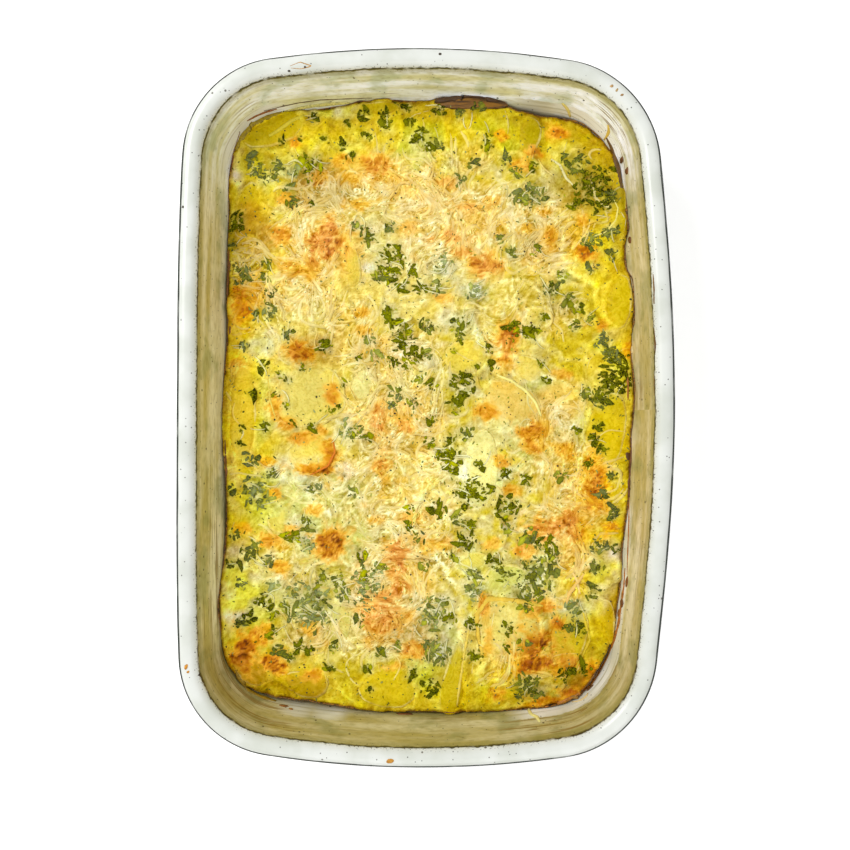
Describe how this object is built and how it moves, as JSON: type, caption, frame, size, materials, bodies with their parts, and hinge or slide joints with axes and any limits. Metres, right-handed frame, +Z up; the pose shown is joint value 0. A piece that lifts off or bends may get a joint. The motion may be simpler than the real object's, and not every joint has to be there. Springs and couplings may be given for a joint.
{
  "type": "potato gratin in a baking dish",
  "caption": "Oblong white stoneware baking dish filled with browned cheese and potato gratin, sprinkled with chopped parsley.",
  "frame": {"origin": "middle of the dish's flat base, where it meets the surface it stands on", "axes": "+Z up, +Y along the dish's long side, +X across it"},
  "size_m": [0.236, 0.34, 0.062],
  "materials": {
    "glazed_stoneware": "gloss",
    "baked_cheese": "satin",
    "potato": "satin",
    "dark_onion": "satin"
  },
  "bodies": {
    "root": {"dish": "glazed_stoneware", "gratin": "baked_cheese", "onion_strip": "dark_onion", "slice_round_left": "potato", "slice_round_right": "potato", "slice_corner_upper_left": "potato", "slice_bottom_bright": "potato", "slice_bottom_fold": "potato", "slice_arc_middle": "potato", "slice_arc_behind": "potato", "slice_yellow_middle": "potato", "slice_pale_middle": "potato", "slice_browned_left": "potato", "slice_left_edge": "potato", "slice_right_edge": "potato", "slice_right_bright": "potato", "slice_right_leaning": "potato", "slice_right_upper": "potato", "slice_green_wedge": "potato", "slice_top_fold": "potato", "slice_left_upper": "potato", "slice_translucent_bar": "potato", "slice_translucent_small": "potato", "slice_lower_left": "potato", "slice_pale_lower": "potato", "slice_lower_middle": "potato", "slice_lower_small": "potato", "slice_lower_right": "potato", "slice_lower_right_edge": "potato", "slice_bottom_left": "potato", "slice_corner_lower_left": "potato"}
  },
  "joints": []
}
